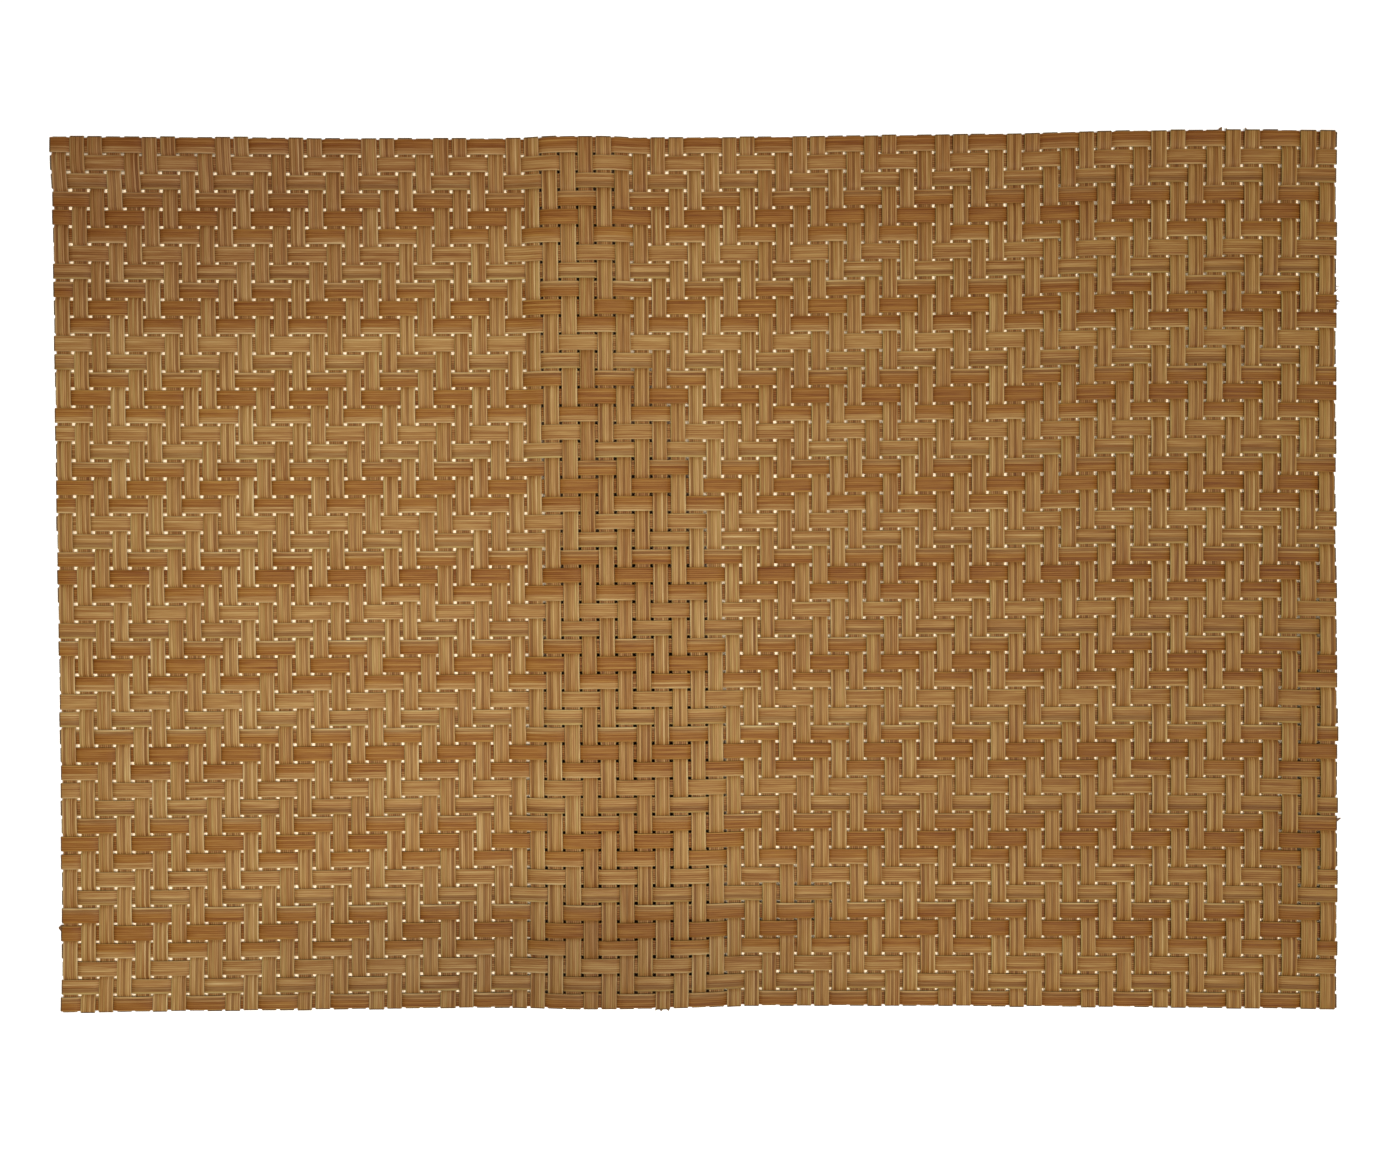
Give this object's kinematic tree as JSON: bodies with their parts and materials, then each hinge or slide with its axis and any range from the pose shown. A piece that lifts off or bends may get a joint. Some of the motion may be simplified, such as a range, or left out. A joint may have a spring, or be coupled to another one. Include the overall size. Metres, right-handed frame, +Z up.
{
  "type": "woven placemat",
  "caption": "Rectangular woven placemat of flat tan and brown bands in a twill, with cut edges, lying nearly flat with a low fold.",
  "frame": {"origin": "on the surface that the mat lies on, under the middle of the box round it", "axes": "+X along the long side, +Y across to the back edge, +Z up out of the face"},
  "size_m": [0.4848, 0.3327, 0.0058],
  "materials": {
    "woven_yarn": "bands of fine coated yarns in tan, olive tan and red brown, low sheen"
  },
  "bodies": {
    "root": {"mat": "woven_yarn"}
  },
  "joints": []
}
